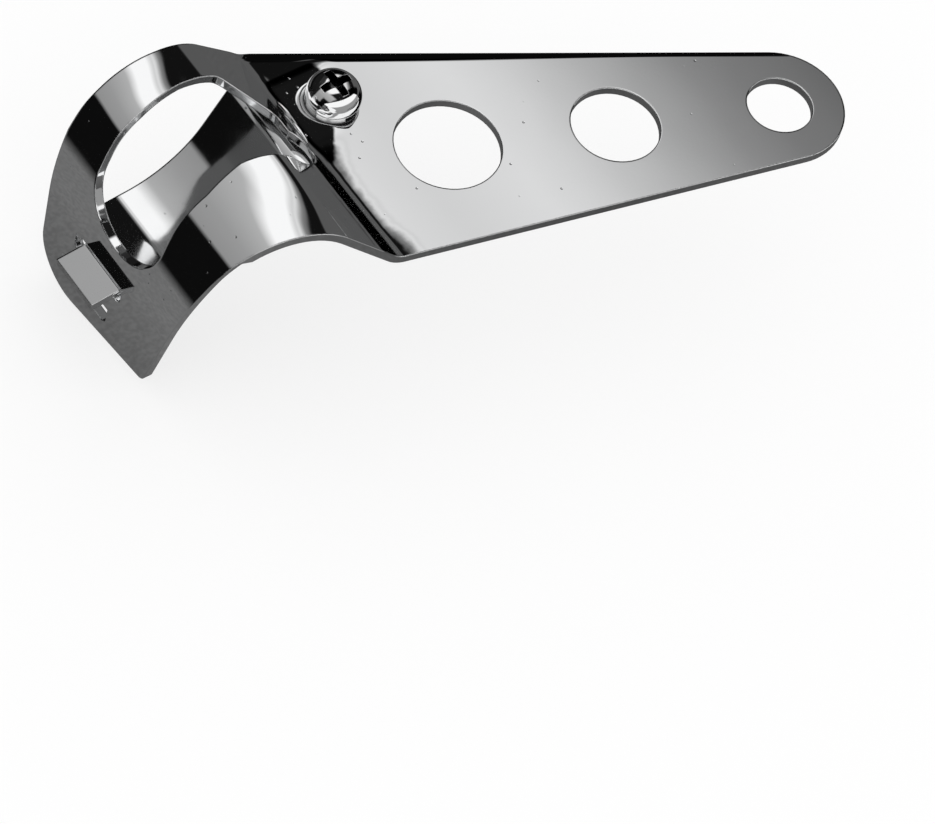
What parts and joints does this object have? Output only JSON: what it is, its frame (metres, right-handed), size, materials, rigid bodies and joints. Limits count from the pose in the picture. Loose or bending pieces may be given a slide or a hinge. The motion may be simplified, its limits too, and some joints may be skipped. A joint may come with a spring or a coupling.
{
  "type": "headlight mounting bracket",
  "caption": "Chromed sheet bracket that wraps a fork tube and reaches out in a tapered arm with lamp holes, closed by a slotted strap and one screw.",
  "frame": {"origin": "on the fork tube's axis, level with the clamp screw", "axes": "+Y along the fork tube, +X across the tube towards the arm, +Z square to the arm, out of its polished face"},
  "size_m": [0.1582, 0.0817, 0.061],
  "materials": {
    "plate_chrome": "polished chrome plate on pressed steel",
    "strap_chrome": "polished chrome plate on pressed steel",
    "screw_chrome": "polished chrome plate",
    "washer_chrome": "polished chrome plate",
    "nut_chrome": "polished chrome plate"
  },
  "bodies": {
    "root": {"bracket_plate": "plate_chrome", "clamp_strap": "strap_chrome", "clamp_screw": "screw_chrome", "lock_washer": "washer_chrome", "clamp_nut": "nut_chrome"}
  },
  "joints": []
}
